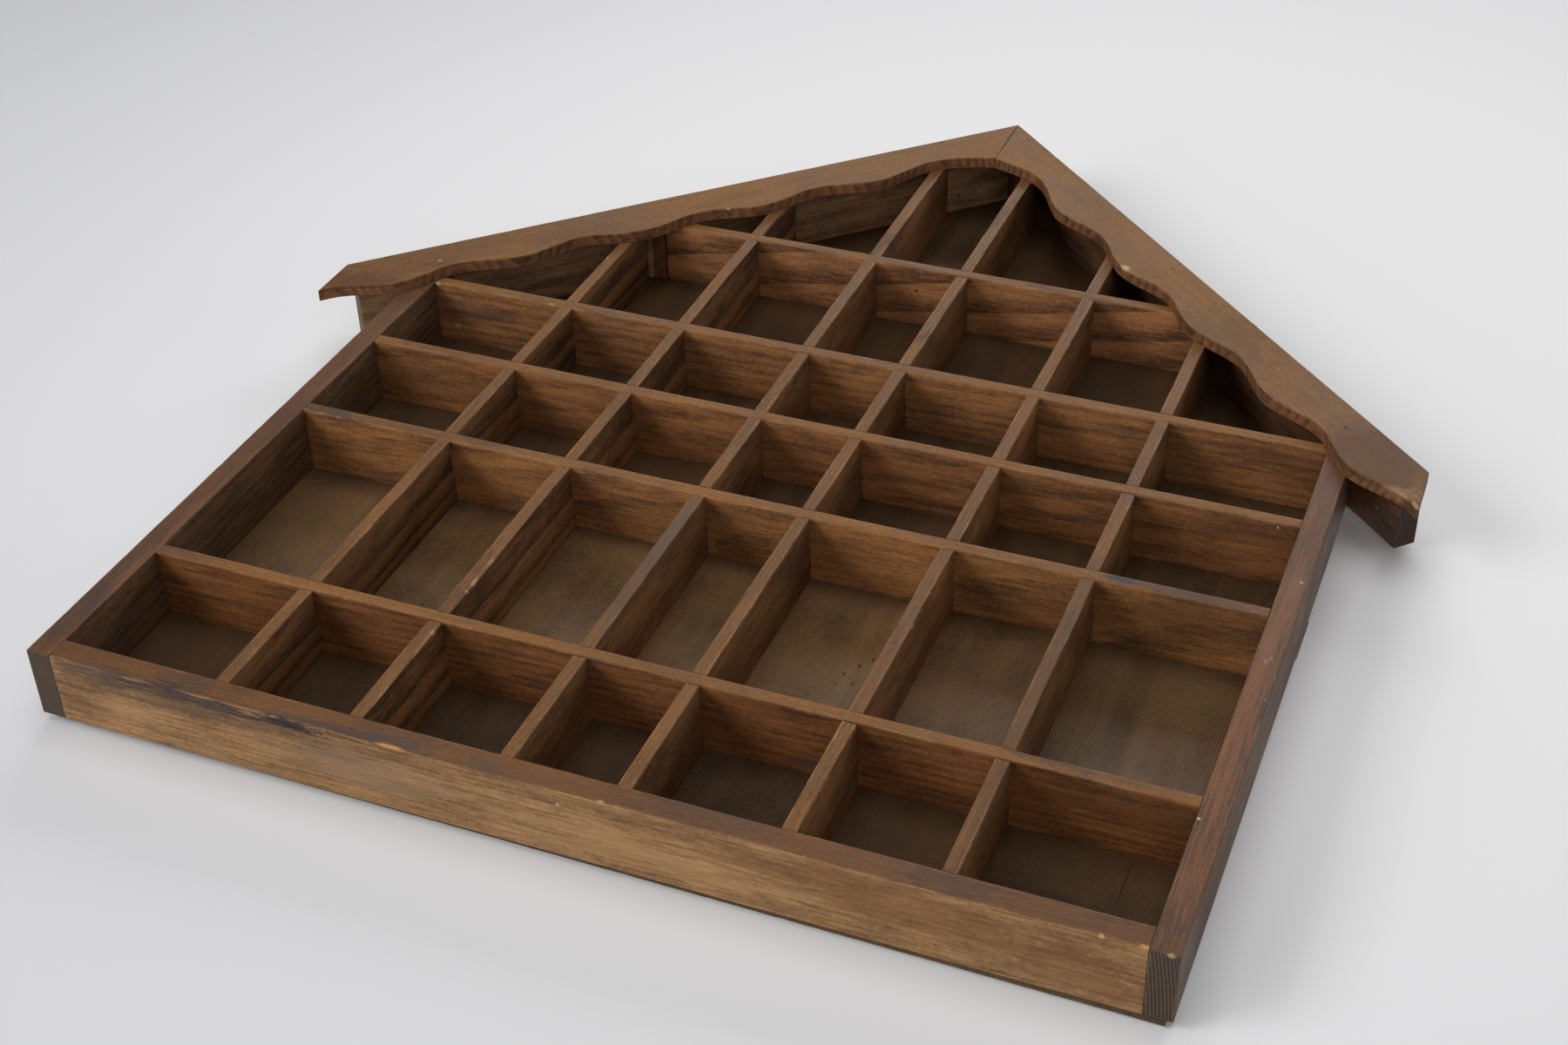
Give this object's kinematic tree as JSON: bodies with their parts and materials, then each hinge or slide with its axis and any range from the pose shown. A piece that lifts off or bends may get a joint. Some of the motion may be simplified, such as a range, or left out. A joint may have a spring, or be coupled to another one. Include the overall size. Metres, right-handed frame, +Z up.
{
  "type": "house-shaped display shelf",
  "caption": "Shallow gabled display shelf for small ornaments, divided by halved shelves and uprights, with scalloped bargeboards under the roof edge.",
  "frame": {"origin": "middle of the footprint, on the surface that the shelf stands on", "axes": "+X to the right seen from the front, +Y from the open front to the back panel, +Z up to the ridge"},
  "size_m": [0.492, 0.041, 0.5222],
  "materials": {
    "rail_wood": "walnut-stained softwood, worn satin",
    "roof_wood": "walnut-stained softwood, worn satin",
    "shelf_wood": "walnut-stained softwood, worn satin",
    "upright_wood": "walnut-stained softwood, worn satin",
    "bargeboard_wood": "walnut-stained softwood, worn satin",
    "panel_board": "thin brown-stained sheet, satin",
    "hanger_steel": "plated strip, dull",
    "nail_steel": "plain wire, dull"
  },
  "bodies": {
    "root": {"bottom_rail": "rail_wood", "side_rail_left": "rail_wood", "side_rail_right": "rail_wood", "roof_board_left": "roof_wood", "roof_board_right": "roof_wood", "shelf_1": "shelf_wood", "shelf_2": "shelf_wood", "shelf_3": "shelf_wood", "shelf_4": "shelf_wood", "shelf_5": "shelf_wood", "shelf_packing": "shelf_wood", "upright_1": "upright_wood", "upright_2": "upright_wood", "upright_3": "upright_wood", "upright_4": "upright_wood", "upright_5": "upright_wood", "upright_6": "upright_wood", "bargeboard_left": "bargeboard_wood", "bargeboard_right": "bargeboard_wood", "back_panel": "panel_board", "hanger_left": "hanger_steel", "hanger_right": "hanger_steel", "frame_nails": "nail_steel", "shelf_nails": "nail_steel", "bargeboard_brads": "nail_steel", "back_panel_pins": "nail_steel", "hanger_pins": "nail_steel"}
  },
  "joints": []
}
